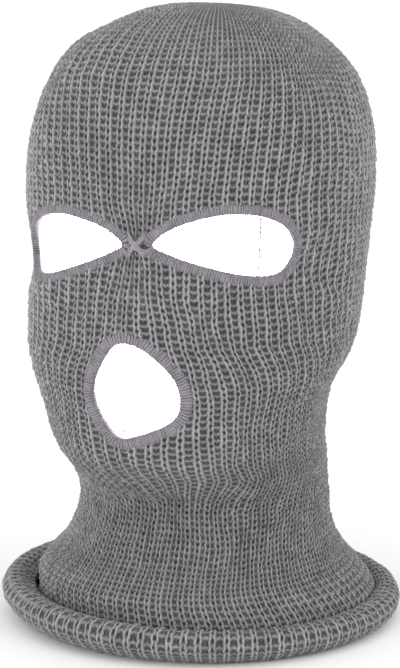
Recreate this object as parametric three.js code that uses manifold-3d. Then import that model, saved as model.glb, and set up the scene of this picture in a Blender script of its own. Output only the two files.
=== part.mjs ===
// A knitted three-hole balaclava, filled out to the shape of a head and standing on its rolled hem.
// Millimetres, +Z up, the face looks towards -Y, and the wearer's left is +X.
import * as THREE from 'three';
import { mergeVertices } from 'three/addons/utils/BufferGeometryUtils.js';
import Module from 'manifold-3d';

const wasm = await Module();
wasm.setup();

// ---- Driving dimensions ----

// The knitted fabric and the room that sewn-on pieces keep from it
const knitThickness = 4.4;
const clearance = 0.3;

// The head inside: heights of its landmarks above the resting plane, and breadths over the fabric
const overallHeight = 295;
const crownDepth = 84;
const crownFullness = 2.53;
const crownLean = 8;
const templeBreadth = 161;
const templeHeadLength = 204;
const eyeLineHeight = 190;
const eyeLineBreadth = 158;
const earHeight = 140;
const earBreadth = 151;
const mouthHeight = 126;
const jawBreadth = 131;
const chinHeight = 92;
const chinBreadth = 123;
const faceReach = 100;
const noseRise = 4;
const templeDent = 3.5;
const templeDentDrop = 13;

// The neck, the flared skirt under it and the hem that rolls outward and up
const neckHeight = 62;
const neckBreadth = 121;
const neckDepth = 116;
const skirtFlareHeight = 40;
const skirtFlareRadius = 65;
const bellHeight = 21;
const bellRadius = 81;
const hemRadius = 97;
const hemRollHeight = 17.2;
const hemCurlWidth = 8.4;
const hemCurlFlattening = 1.1;
const hemTilt = 0.22;

// Openings: sizes along the face, and the width of the thread edging sewn round them
const eyeLength = 70;
const eyeOpenHeight = 28;
const rightEyeSag = 3;
const bridgeGap = 13.4;
const mouthWidth = 42;
const mouthOffset = -1.5;
const mouthOpenHeight = 43;
const eyeEdgingWidth = 4.2;
const mouthEdgingWidth = 5.2;
const edgingThickness = 5.4;

// The tack over the bridge of the nose
const tackWidth = 8;
const tackHeight = 9;
const tackThickness = 2.2;

// Seams: an overlocked ridge on the inside of the fabric
const seamWidth = 4.5;
const seamThickness = 2;
const crownSeamLength = 62;
const crownStitchRadius = 6;

// The blank care label, caught by one short side in the back seam
const labelWidth = 32;
const labelHeight = 22;
const labelThickness = 0.8;
const labelCentreHeight = 60;
const labelRestAngle = 18;

// How finely round shapes are divided
const roundSteps = 50;
const outlineSteps = 40;

const colours = { knit: 0x8e9092, edging: 0x8b848c, seam: 0x7d7e80, label: 0xe6e5e0 };

// ---- The head form ----

const crownBase = overallHeight - crownDepth;
const halfPi = Math.PI / 2;

// Levels of the filled-out hood from the bell to the crown's base. reach is how far forward of the
// axis the fabric lies, back is how far behind it, centre is where the level is widest.
const levels = [
  { z: bellHeight, half: bellRadius, centre: 0, reach: bellRadius, back: bellRadius },
  {
    z: skirtFlareHeight,
    half: skirtFlareRadius,
    centre: 1,
    reach: skirtFlareRadius,
    back: skirtFlareRadius,
  },
  {
    z: neckHeight,
    half: neckBreadth / 2,
    centre: 3,
    reach: neckDepth * 0.48,
    back: neckDepth * 0.52,
  },
  {
    z: (neckHeight + chinHeight) / 2,
    half: neckBreadth / 2,
    centre: -6,
    reach: faceReach * 0.7,
    back: neckDepth * 0.58,
  },
  { z: chinHeight, half: chinBreadth / 2, centre: -19, reach: faceReach * 0.92, back: 69 },
  { z: mouthHeight - 12, half: jawBreadth / 2, centre: -27, reach: faceReach * 0.98, back: 73 },
  { z: mouthHeight + 4, half: earBreadth / 2 - 3, centre: -20, reach: faceReach * 0.99, back: 87 },
  { z: earHeight, half: earBreadth / 2, centre: -14, reach: faceReach, back: 92 },
  {
    z: (earHeight + eyeLineHeight) / 2,
    half: (earBreadth + eyeLineBreadth) / 4,
    centre: -7,
    reach: faceReach * 1.01,
    back: 99,
  },
  {
    z: eyeLineHeight,
    half: eyeLineBreadth / 2,
    centre: -1,
    reach: faceReach * 0.985,
    back: templeHeadLength - faceReach - 1,
  },
  {
    z: crownBase,
    half: templeBreadth / 2,
    centre: 3,
    reach: faceReach - 1,
    back: templeHeadLength - faceReach + 1,
  },
];

// Smooth curve through the levels: Hermite pieces whose slopes come from the neighbours
function atHeight(key, z) {
  const last = levels.length - 1;
  if (z <= levels[0].z) return levels[0][key];
  if (z >= levels[last].z) return levels[last][key];
  const i = levels.findIndex((level, n) => n < last && z < levels[n + 1].z);
  const slope = (n) => {
    if (n === 0 || n === last) return 0;
    return (levels[n + 1][key] - levels[n - 1][key]) / (levels[n + 1].z - levels[n - 1].z);
  };
  const step = levels[i + 1].z - levels[i].z;
  const t = (z - levels[i].z) / step;
  const start = levels[i][key] * (1 + 2 * t) * (1 - t) ** 2 + slope(i) * step * t * (1 - t) ** 2;
  const end = levels[i + 1][key] * t * t * (3 - 2 * t) - slope(i + 1) * step * t * t * (1 - t);
  return start + end;
}

// Above its base the crown closes like a full, slightly squared dome
function crownShare(z) {
  const rise = Math.min(Math.max(z - crownBase, 0) / crownDepth, 1);
  return (1 - rise ** crownFullness) ** (1 / crownFullness);
}

const bump = (distance, spread) => Math.exp(-((distance / spread) ** 2));

// The nose lifts the fabric, and the pull of the eye edging flattens the temples beside it
function faceRelief(angle, z) {
  const nose = noseRise * bump(angle, 0.16) * bump(z - (eyeLineHeight + mouthHeight) / 2, 19);
  const dentHeight = eyeLineHeight - templeDentDrop;
  const temple = templeDent * bump(Math.abs(angle) - 0.98, 0.22) * bump(z - dentHeight, 13);
  return nose - temple;
}

// Half breadth of the fabric's outer face at a height
const outerHalf = (z) => atHeight('half', z) * crownShare(z);

// A point of the fabric at an angle from the face's middle. radius is the half breadth there: on the
// sides it sets how deep the point lies under the outer face, and near the top it shrinks the level.
function formPoint(radius, angle, z) {
  const half = atHeight('half', z);
  const centre = atHeight('centre', z);
  const front = Math.cos(angle) >= 0;
  const depth = front ? atHeight('reach', z) + centre : atHeight('back', z) - centre;
  const squareness = front && z > neckHeight ? 2.15 : 2;
  const side = Math.abs(Math.sin(angle)) / half;
  const along = Math.abs(Math.cos(angle)) / depth;
  const reach = (side ** squareness + along ** squareness) ** (-1 / squareness);
  const share = Math.min(radius / half, 1);
  const top = Math.min(Math.max((z - crownBase) / (crownDepth * 0.6), 0), 1);
  const sunk = reach * crownShare(z) - outerHalf(z) + radius + faceRelief(angle, z);
  const distance = sunk * (1 - top) + reach * share * top;
  const rise = Math.max(z - crownBase, 0) / crownDepth;
  const middle = centre * (1 - top + share * top) + crownLean * rise ** 4;
  return new THREE.Vector3(distance * Math.sin(angle), middle - distance * Math.cos(angle), z);
}

// A point on, above or below the outer face: angle round the head, height, and distance outward
function onFace(angle, z, outward) {
  const away = new THREE.Vector3(Math.sin(angle), -Math.cos(angle), 0);
  return formPoint(outerHalf(z), angle, z).add(away.multiplyScalar(outward));
}

// ---- Small helpers for closed meshes ----

// Joins shared corners and drops triangles that have collapsed, as at the tip of a turned shape
function welded(geometry) {
  geometry.deleteAttribute('normal');
  geometry.deleteAttribute('uv');
  const merged = mergeVertices(geometry, 1e-3);
  const corner = merged.getIndex().array;
  const kept = [];
  for (let i = 0; i < corner.length; i += 3) {
    const [a, b, c] = [corner[i], corner[i + 1], corner[i + 2]];
    if (a !== b && b !== c && c !== a) kept.push(a, b, c);
  }
  merged.setIndex(kept);
  return merged;
}

function toSolid(geometry) {
  const closed = welded(geometry);
  return new wasm.Manifold(new wasm.Mesh({
    numProp: 3,
    vertProperties: new Float32Array(closed.getAttribute('position').array),
    triVerts: new Uint32Array(closed.getIndex().array),
  }));
}

function toGeometry(solid) {
  const mesh = solid.getMesh();
  const geometry = new THREE.BufferGeometry();
  geometry.setAttribute('position', new THREE.BufferAttribute(mesh.vertProperties, 3));
  geometry.setIndex(new THREE.BufferAttribute(mesh.triVerts, 1));
  return geometry;
}

// Moves every corner of a geometry through a function of its place
function reshaped(geometry, place) {
  const position = geometry.getAttribute('position');
  for (let i = 0; i < position.count; i += 1) {
    const point = place(new THREE.Vector3().fromBufferAttribute(position, i));
    position.setXYZ(i, point.x, point.y, point.z);
  }
  return geometry;
}

function namedMesh(name, geometry, colour) {
  const shaded = welded(geometry);
  shaded.computeVertexNormals();
  const material = new THREE.MeshStandardMaterial({ color: colour, roughness: 0.95, metalness: 0 });
  const mesh = new THREE.Mesh(shaded, material);
  mesh.name = name;
  return mesh;
}

// ---- The knitted hood ----

// Where the rolled hem curls, in degrees from straight outward: the free edge is tucked in past the top,
// and the curl ends where it meets the bell of the skirt
const hemCurlTurns = [96, 60, 20, -20, -55, -90, -125, -160];
const sideSteps = 20;
const domeSteps = 13;

// The outer face as half breadth against height: from the free edge round the inside of the rolled hem,
// then up the skirt, the neck and the head to the top of the crown
function outerPath() {
  const curlMiddle = hemRadius - knitThickness - hemCurlWidth / 2;
  const curlRise = (hemRollHeight - 2 * knitThickness) / 2;
  const path = hemCurlTurns.map((degrees) => {
    const turn = THREE.MathUtils.degToRad(degrees);
    const squash = turn < 0 ? hemCurlFlattening : 0;
    const height = knitThickness + curlRise + (curlRise + squash) * Math.sin(turn);
    return new THREE.Vector2(
      curlMiddle + (hemCurlWidth / 2) * Math.cos(turn),
      Math.max(height, knitThickness),
    );
  });
  const bellFoot = path[path.length - 1];
  path.push(new THREE.Vector2(bellRadius + 0.6, (bellHeight + bellFoot.y) / 2));
  for (let i = 0; i <= sideSteps; i += 1) {
    const z = bellHeight + ((crownBase - bellHeight) * i) / sideSteps;
    path.push(new THREE.Vector2(outerHalf(z), z));
  }
  for (let i = 1; i < domeSteps; i += 1) {
    const turn = (halfPi * i) / domeSteps;
    const z = crownBase + crownDepth * Math.sin(turn) ** (2 / crownFullness);
    path.push(new THREE.Vector2(outerHalf(z), z));
  }
  path.push(new THREE.Vector2(0, overallHeight));
  return path;
}

// The inner face lies one fabric thickness behind the outer one, and is flat under the roll, where the
// hood rests
function innerPath(outer) {
  const last = outer.length - 1;
  return outer.map((point, i) => {
    const before = outer[Math.max(i - 1, 0)];
    const after = outer[Math.min(i + 1, last)];
    const along = after.clone().sub(before).normalize();
    const inner = new THREE.Vector2(
      point.x - along.y * knitThickness,
      point.y + along.x * knitThickness,
    );
    if (i === last) inner.set(0, overallHeight - knitThickness);
    if (point.y <= knitThickness) inner.y = 0;
    return inner;
  });
}

// The whole hood before its openings are cut. The roll stands a little higher on the wearer's right than
// on the left.
function hoodShell() {
  const outer = outerPath();
  const inner = innerPath(outer).reverse();
  const edgeOut = inner[inner.length - 1];
  const edgeRound = outer[0].clone().add(edgeOut).multiplyScalar(0.5);
  edgeRound.add(outer[0].clone().sub(outer[1]).setLength(knitThickness * 0.3));
  const profile = [...inner, edgeRound, ...outer];
  const lathe = new THREE.LatheGeometry(profile, roundSteps);
  return reshaped(lathe, (p) => {
    const radius = Math.hypot(p.x, p.z);
    const angle = Math.atan2(p.x, p.z);
    const share = (radius - bellRadius) / (hemRadius - knitThickness - bellRadius);
    const rolled = p.y < bellHeight ? Math.min(Math.max(share, 0), 1) : 0;
    const z = p.y * (1 - hemTilt * rolled * Math.sin(angle));
    return formPoint(radius, angle, z);
  });
}

// ---- Outlines of the openings, laid flat: x runs round the face, y is the height ----

// A smooth closed line, counter-clockwise, through points given as shares of a width and a height
function roundedOutline(shares, width, height, centreX, centreY) {
  const points = shares.map(([x, y]) => {
    return new THREE.Vector3(centreX + x * width, centreY + y * height, 0);
  });
  const curve = new THREE.CatmullRomCurve3(points, true, 'centripetal');
  return curve.getSpacedPoints(outlineSteps).slice(0, -1).map((p) => new THREE.Vector2(p.x, p.y));
}

// A long drop with its point at the bridge and its round end at the temple. side is 1 or -1, and sag
// is how far the round end hangs down.
function eyeOutline(side, sag) {
  const shares = [
    [-0.5, 0.05], [-0.43, -0.09], [-0.18, -0.3], [0.14, -0.47], [0.38, -0.44],
    [0.5, -0.12], [0.42, 0.25], [0.2, 0.47], [-0.06, 0.5], [-0.34, 0.33],
  ];
  const mirrored = shares.map(([x, y]) => [x * side, y - ((x + 0.5) * sag) / eyeOpenHeight]);
  const ordered = side > 0 ? mirrored : mirrored.reverse();
  const centre = side * (bridgeGap / 2 + eyeLength / 2);
  return roundedOutline(ordered, eyeLength, eyeOpenHeight, centre, eyeLineHeight - 0.8);
}

// The mouth is pulled out of round by its edging: flat at the upper right of the wearer
function mouthOutline() {
  const shares = [
    [-0.31, 0.37], [-0.5, 0.04], [-0.44, -0.25], [-0.22, -0.5], [0.02, -0.48],
    [0.39, -0.32], [0.5, -0.12], [0.42, 0.16], [0.12, 0.45], [-0.13, 0.5],
  ];
  return roundedOutline(shares, mouthWidth, mouthOpenHeight, mouthOffset, mouthHeight);
}

// The same outline moved outward by a distance
function widened(outline, distance) {
  const count = outline.length;
  return outline.map((point, i) => {
    const before = outline[(i + count - 1) % count];
    const after = outline[(i + 1) % count];
    const along = after.clone().sub(before).normalize();
    return point.clone().add(new THREE.Vector2(along.y, -along.x).multiplyScalar(distance));
  });
}

// Bends a flat extrusion round the face: its depth becomes the distance from the outer face
function bentOverFace(geometry) {
  return reshaped(geometry, (p) => {
    const faceRadius = atHeight('reach', p.y) + atHeight('centre', p.y);
    return onFace(p.x / faceRadius, p.y, p.z);
  });
}

function openingCutter(outline, edgingWidth) {
  const hole = new THREE.Shape(widened(outline, edgingWidth + clearance));
  const inward = 24;
  const outward = 16;
  const cutter = new THREE.ExtrudeGeometry(hole, {
    depth: inward + outward,
    steps: 8,
    bevelEnabled: false,
  });
  cutter.translate(0, 0, -inward);
  return toSolid(bentOverFace(cutter));
}

function edging(name, outline, width) {
  const band = new THREE.Shape(widened(outline, width));
  band.holes.push(new THREE.Path(outline));
  const strip = new THREE.ExtrudeGeometry(band, { depth: edgingThickness, bevelEnabled: false });
  strip.translate(0, 0, -(edgingThickness + knitThickness) / 2);
  return namedMesh(name, bentOverFace(strip), colours.edging);
}

// ---- The pieces ----

const eyes = [
  { name: 'left_eye_edging', outline: eyeOutline(1, 0) },
  { name: 'right_eye_edging', outline: eyeOutline(-1, rightEyeSag) },
];

function knitHood() {
  let hood = toSolid(hoodShell());
  eyes.forEach((eye) => {
    hood = hood.subtract(openingCutter(eye.outline, eyeEdgingWidth));
  });
  hood = hood.subtract(openingCutter(mouthOutline(), mouthEdgingWidth));
  return namedMesh('knit_hood', toGeometry(hood), colours.knit);
}

// A flattened knot of thread over the narrow bridge, lying on the two eye edgings
function bridgeTack() {
  const knot = new THREE.SphereGeometry(0.5, 14, 10);
  knot.scale(tackWidth, tackHeight, tackThickness);
  const proud = (edgingThickness - knitThickness) / 2 + clearance + tackThickness / 2;
  knot.translate(0, eyeLineHeight, proud);
  return namedMesh('bridge_tack', bentOverFace(knot), colours.edging);
}

// An overlocked ridge: a flat oval that follows the inside of the fabric at one angle round the head.
// heightAt gives its height for a share of its length, and must rise. facetRoom makes up for the flat
// facets of the fabric, which lie a little inside its true curve.
const facetRoom = 0.6;
const seamDepth = knitThickness + clearance + facetRoom + seamThickness / 2;

// The fabric is as thick as it should be at the sides. Elsewhere its thickness also depends on how much
// the side leans there and how much the wall itself does.
function extraThickness(z, wallLean) {
  const nudge = 0.5;
  const sideLean = (outerHalf(z + nudge) - outerHalf(z - nudge)) / (2 * nudge);
  return knitThickness * (Math.hypot(1, sideLean) / Math.hypot(1, wallLean) - 1);
}

function seamRidge(name, angle, heightAt, steps) {
  const section = new THREE.Shape();
  section.absellipse(0, 0, seamWidth / 2, seamThickness / 2, 0, Math.PI * 2);
  const ridge = new THREE.ExtrudeGeometry(section, {
    depth: 1,
    steps,
    curveSegments: 5,
    bevelEnabled: false,
  });
  const wall = (share, turn) => onFace(angle + turn, heightAt(share), 0);
  const nudge = 0.01;
  reshaped(ridge, (p) => {
    const along = wall(p.z + nudge, 0).sub(wall(p.z - nudge, 0)).normalize();
    const round = wall(p.z, nudge).sub(wall(p.z, -nudge));
    const outward = round.cross(along).normalize();
    const across = along.cross(outward);
    const place = wall(p.z, 0).add(across.multiplyScalar(p.x));
    const wallLean = Math.hypot(along.x, along.y) / along.z;
    const extra = place.z < crownBase ? extraThickness(heightAt(p.z), wallLean) : 0;
    return place.add(outward.multiplyScalar(-seamDepth - Math.max(extra, 0) - p.y));
  });
  return namedMesh(name, ridge, colours.seam);
}

// A crown dart seam climbs the dome to the closing stitches at the top
function crownSeam(name, angle) {
  const farShare = crownSeamLength / (templeBreadth / 2);
  const nearShare = (crownStitchRadius + seamWidth) / (templeBreadth / 2);
  const heightAt = (share) => {
    const spread = farShare + (nearShare - farShare) * share;
    return crownBase + crownDepth * (1 - spread ** crownFullness) ** (1 / crownFullness);
  };
  return seamRidge(name, angle, heightAt, 10);
}

// Drawn-together closing stitches under the very top of the crown
function crownStitch() {
  const knot = new THREE.CylinderGeometry(
    crownStitchRadius * 0.8,
    crownStitchRadius,
    seamThickness,
    16,
  );
  knot.rotateX(halfPi);
  const domeSag = 0.1;
  const top = formPoint(0, 0, overallHeight - seamDepth - domeSag);
  knot.translate(top.x, top.y, top.z);
  return namedMesh('crown_stitch', knot, colours.seam);
}

// The back seam climbs the inside of the fabric from just above the hem to the base of the crown
function backSeam() {
  const bottom = bellHeight + 8;
  return seamRidge('back_seam', Math.PI, (share) => bottom + (crownBase - bottom) * share, 24);
}

// ---- The care label ----

// Its sewn side stands against the back seam; the rest swings about that side
const labelPivot = (() => {
  const wall = onFace(Math.PI, labelCentreHeight, 0).y;
  const low = onFace(Math.PI, labelCentreHeight - labelHeight / 2, 0).y;
  const high = onFace(Math.PI, labelCentreHeight + labelHeight / 2, 0).y;
  const nearest = Math.min(wall, low, high) - seamDepth - seamThickness / 2;
  return new THREE.Vector3(0, nearest - clearance * 2.5, labelCentreHeight);
})();

function careLabel() {
  const flap = new THREE.BoxGeometry(labelWidth, labelThickness, labelHeight);
  flap.translate(labelWidth / 2, 0, 0);
  flap.rotateZ(-THREE.MathUtils.degToRad(labelRestAngle));
  flap.translate(labelPivot.x, labelPivot.y, labelPivot.z);
  return namedMesh('care_label', flap, colours.label);
}

// ---- The assembly ----

const balaclava = new THREE.Group();
balaclava.add(knitHood());
eyes.forEach((eye) => balaclava.add(edging(eye.name, eye.outline, eyeEdgingWidth)));
balaclava.add(edging('mouth_edging', mouthOutline(), mouthEdgingWidth));
balaclava.add(bridgeTack());

const crownSeams = {
  crown_seam_front_left: Math.PI / 4,
  crown_seam_front_right: -Math.PI / 4,
  crown_seam_back_left: (Math.PI * 3) / 4,
  crown_seam_back_right: (-Math.PI * 3) / 4,
};
Object.entries(crownSeams).forEach(([name, angle]) => balaclava.add(crownSeam(name, angle)));
balaclava.add(crownStitch());
balaclava.add(backSeam());
balaclava.add(careLabel());

export default balaclava;
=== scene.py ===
import math

import bpy
import numpy as np
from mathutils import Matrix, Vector


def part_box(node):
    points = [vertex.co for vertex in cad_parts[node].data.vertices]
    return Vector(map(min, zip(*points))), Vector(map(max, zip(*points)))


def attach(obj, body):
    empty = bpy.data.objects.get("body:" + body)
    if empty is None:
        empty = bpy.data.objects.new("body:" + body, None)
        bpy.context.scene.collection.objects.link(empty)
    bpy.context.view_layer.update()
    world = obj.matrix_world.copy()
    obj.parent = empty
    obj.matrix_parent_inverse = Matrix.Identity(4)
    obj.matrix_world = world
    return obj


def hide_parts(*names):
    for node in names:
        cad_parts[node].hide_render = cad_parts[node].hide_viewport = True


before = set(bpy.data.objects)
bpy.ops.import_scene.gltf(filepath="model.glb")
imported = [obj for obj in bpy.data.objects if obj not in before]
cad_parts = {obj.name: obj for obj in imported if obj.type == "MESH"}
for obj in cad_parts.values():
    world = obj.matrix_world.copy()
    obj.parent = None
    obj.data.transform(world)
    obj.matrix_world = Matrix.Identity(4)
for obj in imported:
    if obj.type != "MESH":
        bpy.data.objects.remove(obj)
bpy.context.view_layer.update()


# ---- The knitted hood ----
# One tube of grey acrylic yarn in one-by-one rib: a raised column of V stitches, then a sunk column of purl
# bars. It is knitted from the hem upward, four darts close the crown, and the hem rolls outward and up.
# Filled out by a head, its ribs open on the crown and face and close up on the neck.

RIBS = 96
COLUMNS_PER_RIB = 8
ROWS_PER_COURSE = 4
HEAD_COURSE = 0.0032
NECK_COURSE = 0.0026
NECK_SPREAD = 0.030
KNIT_THICKNESS = 0.0044
TABLE_GAP = 0.0002
HEAD_RELIEF = 0.0017
WALE_TIGHT, WALE_OPEN = 0.0039, 0.0060
CURL_COURSES = 2.0
CROWN_PARALLEL = 0.5

crown_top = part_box("knit_hood")[1]
eye_line = sum(corner.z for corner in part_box("bridge_tack")) / 2
mouth_line = sum(corner.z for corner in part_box("mouth_edging")) / 2
ear_line = (eye_line + mouth_line) / 2 - 0.018
crown_depth = 0.084
crown_base = crown_top.z - crown_depth
crown_fullness = 2.53
crown_lean = 0.008
bell_height = 0.021
bell_radius = 0.081
hem_radius = 0.097
hem_roll_height = 0.0172
hem_curl_width = 0.0084
hem_tuck_degrees = 146
hem_start_degrees = 150
hem_lean = 0.0028
hem_tilt = 0.22
neck_height = 0.062
nose_rise = 0.004
temple_dent = 0.0035
temple_drop = 0.013
face_squareness = 2.15

# The filled shape, level by level: height, half breadth, where along the depth it is widest, how far the
# face side reaches forward and how far the back reaches behind
levels = np.array([
    (bell_height, bell_radius, 0.000, bell_radius, bell_radius),
    (0.040, 0.0650, 0.001, 0.0650, 0.0650),
    (neck_height, 0.0605, 0.003, 0.0557, 0.0603),
    (0.077, 0.0605, -0.006, 0.0700, 0.0673),
    (0.092, 0.0615, -0.019, 0.0920, 0.0690),
    (mouth_line - 0.012, 0.0655, -0.027, 0.0980, 0.0730),
    (mouth_line + 0.004, 0.0725, -0.020, 0.0990, 0.0870),
    (ear_line, 0.0755, -0.014, 0.1000, 0.0920),
    ((ear_line + eye_line) / 2, 0.0773, -0.007, 0.1010, 0.0990),
    (eye_line, 0.0790, -0.001, 0.0985, 0.1030),
    (crown_base, 0.0805, 0.003, 0.0990, 0.1050),
])
HALF, CENTRE, REACH, BACK = 1, 2, 3, 4


def at_height(which, z):
    """A size of the filled shape at a height, on a smooth curve through the levels."""
    height, value = levels[:, 0], levels[:, which]
    slope = np.zeros(len(height))
    slope[1:-1] = (value[2:] - value[:-2]) / (height[2:] - height[:-2])
    z = np.clip(z, height[0], height[-1])
    i = np.clip(np.searchsorted(height, z, side="right") - 1, 0, len(height) - 2)
    step = height[i + 1] - height[i]
    t = (z - height[i]) / step
    start = value[i] * (1 + 2 * t) * (1 - t) ** 2 + slope[i] * step * t * (1 - t) ** 2
    return start + value[i + 1] * t * t * (3 - 2 * t) - slope[i + 1] * step * t * t * (1 - t)


def crown_share(z):
    """How much of its full breadth the crown keeps at a height."""
    rise = np.clip((z - crown_base) / crown_depth, 0, 1)
    return (1 - rise ** crown_fullness) ** (1 / crown_fullness)


def outer_half(z):
    return at_height(HALF, z) * crown_share(z)


def hump(distance, spread):
    return np.exp(-((distance / spread) ** 2))


def form_point(radius, angle, z):
    """A point of the filled shape. angle runs round the head from the middle of the face, and radius is
    the half breadth at that height, which is less than the full one under the surface and on the crown."""
    radius, angle, z = np.broadcast_arrays(radius, angle, z)
    half, centre = at_height(HALF, z), at_height(CENTRE, z)
    in_front = np.cos(angle) >= 0
    depth = np.where(in_front, at_height(REACH, z) + centre, at_height(BACK, z) - centre)
    squareness = np.where(in_front & (z > neck_height), face_squareness, 2.0)
    level = (np.abs(np.sin(angle)) / half) ** squareness + (np.abs(np.cos(angle)) / depth) ** squareness
    reach = level ** (-1 / squareness)
    share = np.minimum(radius / half, 1)
    top = np.clip((z - crown_base) / (crown_depth * 0.6), 0, 1)
    nose = nose_rise * hump(angle, 0.16) * hump(z - (eye_line + mouth_line) / 2, 0.019)
    temple = temple_dent * hump(np.abs(angle) - 0.98, 0.22) * hump(z - eye_line + temple_drop, 0.013)
    sunk = reach * crown_share(z) - outer_half(z) + radius + nose - temple
    distance = sunk * (1 - top) + reach * share * top
    rise = np.clip(z - crown_base, 0, None) / crown_depth
    middle = centre * (1 - top + share * top) + crown_lean * rise ** 4
    return np.stack([distance * np.sin(angle), middle - distance * np.cos(angle), z], axis=-1)


def smooth_line(points, per_span, closed=False):
    """A smooth line through given points, with equal numbers of steps between them."""
    p = np.asarray(points, float)
    ends = (p[-1:], p[:2]) if closed else (2 * p[:1] - p[1:2], 2 * p[-1:] - p[-2:-1])
    p = np.concatenate([ends[0], p, ends[1]])
    t = np.linspace(0, 1, per_span, endpoint=False)[:, None]
    spans = []
    for a, b, c, d in zip(p[:-3], p[1:-2], p[2:-1], p[3:]):
        spans.append(0.5 * (2 * b + (c - a) * t + (2 * a - 5 * b + 4 * c - d) * t ** 2
                            + (3 * b - a - 3 * c + d) * t ** 3))
    return np.concatenate(spans + ([] if closed else [p[-2:-1]]))


def soft_noise(across, up, cells_across, cells_up, seed):
    """Smooth random values from -1 to 1. across runs from 0 to 1 round the hood and joins up with itself."""
    rows = cells_up + 2
    lattice = np.random.default_rng(seed).uniform(-1, 1, (cells_across, rows))
    x, y = (across % 1.0) * cells_across, np.clip(up, 0, 1) * cells_up
    i, j = np.floor(x).astype(int), np.minimum(np.floor(y).astype(int), rows - 2)
    fx, fy = x - i, y - j
    fx, fy = fx * fx * (3 - 2 * fx), fy * fy * (3 - 2 * fy)
    i, right = i % cells_across, (i + 1) % cells_across
    low = lattice[i, j] * (1 - fx) + lattice[right, j] * fx
    return low * (1 - fy) + (lattice[i, j + 1] * (1 - fx) + lattice[right, j + 1] * fx) * fy


# The path of the fabric's outer face: from the free edge round the inside of the curled hem, then up the
# skirt, neck and head, and over the crown
roll_inside = hem_radius - KNIT_THICKNESS
curl_rise = (hem_roll_height - 2 * KNIT_THICKNESS) / 2
curl_turn = np.radians(np.linspace(hem_tuck_degrees, -hem_start_degrees, 80))
curl_out = hem_curl_width / 2 * (1 - np.cos(curl_turn)) - hem_lean * (np.sin(curl_turn) - 0.3)
curl_path = np.stack([roll_inside - curl_out,
                      KNIT_THICKNESS + 0.0001 + curl_rise * (1 + np.sin(curl_turn))], axis=1)
bell_path = smooth_line([curl_path[-1], (bell_radius + 0.0008, (bell_height + curl_path[-1, 1]) / 2),
                         (bell_radius, bell_height)], 16)
hem_path = np.concatenate([curl_path, bell_path[1:]])
side_height = np.linspace(bell_height, crown_base, 400)[1:]
side_path = np.stack([outer_half(side_height), side_height], axis=1)
turn = np.linspace(0, math.pi / 2, 300)[1:]
dome_height = crown_base + crown_depth * np.sin(turn) ** (2 / crown_fullness)
dome_path = np.stack([outer_half(dome_height), dome_height], axis=1)
fabric_path = np.concatenate([hem_path, side_path, dome_path])
path_step = np.linalg.norm(np.diff(fabric_path, axis=0), axis=1)
path_step[:len(curl_path) - 1] *= CURL_COURSES
step_height = (fabric_path[1:, 1] + fabric_path[:-1, 1]) / 2
course_length = HEAD_COURSE + (NECK_COURSE - HEAD_COURSE) * hump(step_height - neck_height, NECK_SPREAD)
path_course = np.concatenate([[0], np.cumsum(path_step / course_length)])
course_count = int(path_course[-1])
path_course *= course_count / path_course[-1]
row_count = course_count * ROWS_PER_COURSE - 1
row_count -= 1 - row_count % 2
column_count = RIBS * COLUMNS_PER_RIB
row_course = np.arange(row_count) / ROWS_PER_COURSE
roll_course = float(np.interp(len(hem_path) - 1, np.arange(len(path_course)), path_course))
roll_rows = 2 * int((roll_course + 2) * ROWS_PER_COURSE / 2)

# Where each column of stitches stands round the hood, as a share of the way round from the back. Each
# quarter of the way round has its own ribs, and on the crown they run on side by side until the darts cut
# them off
column_share = np.arange(column_count) / column_count
dart_angle = np.array([-1, -0.75, -0.25, 0, 0.25, 0.75, 1]) * math.pi
dart_share = (np.array([-1, -0.75, -0.25, 0, 0.25, 0.75, 1]) + 1) / 2


def crown_columns(share, narrowing):
    """Ribs lose less width than the crown does, and end one after another at the dart seams. The dart
    at the wearer's front left is drawn in the least."""
    panel = np.round(share * 4)
    local = (share * 4 - panel) * 2
    scale = narrowing ** CROWN_PARALLEL
    kept = local / scale
    pressed = kept / (1 + np.abs(kept) ** 4) ** 0.25 * (1 + scale ** -4) ** 0.25 * scale
    softened = 1 - 0.7 * hump(share - 0.625, 0.11)
    mix = np.clip((1 - narrowing) / 0.12, 0, 1) * softened
    return (panel + (local * (1 - mix) + pressed * mix) / 2) / 4


# How wide the ribs are drawn, against the mean of their level, at angles from the middle of the face: the
# chin, the temples and the crown's sides stretch the knit, the bridge and the throat less
stretch_angles = np.array([0.0, 0.3, 0.6, 0.95, 1.5, 2.2, math.pi])
stretch_levels = np.array([0.030, 0.062, 0.080, 0.095, mouth_line, 0.145, eye_line, 0.205, 0.255])
stretch_table = np.array([
    (1.06, 1.04, 1.02, 1.04, 1.05, 0.98, 0.95),
    (1.20, 1.15, 1.04, 1.06, 1.02, 0.90, 0.90),
    (1.55, 1.40, 1.08, 0.98, 0.92, 0.88, 0.85),
    (1.45, 1.38, 1.14, 1.00, 0.92, 0.88, 0.85),
    (1.20, 1.18, 1.12, 1.06, 0.96, 0.92, 0.90),
    (0.92, 1.02, 1.06, 1.08, 1.02, 0.98, 0.96),
    (0.82, 0.94, 1.06, 1.12, 1.04, 1.00, 1.00),
    (0.82, 0.90, 1.05, 1.15, 1.06, 1.00, 1.00),
    (0.84, 0.90, 1.04, 1.12, 1.05, 1.00, 1.00),
])


def stretch(angle, z):
    at_level = np.array([np.interp(z, stretch_levels, column) for column in stretch_table.T])
    return np.interp(np.abs(angle), stretch_angles, at_level)


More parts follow.
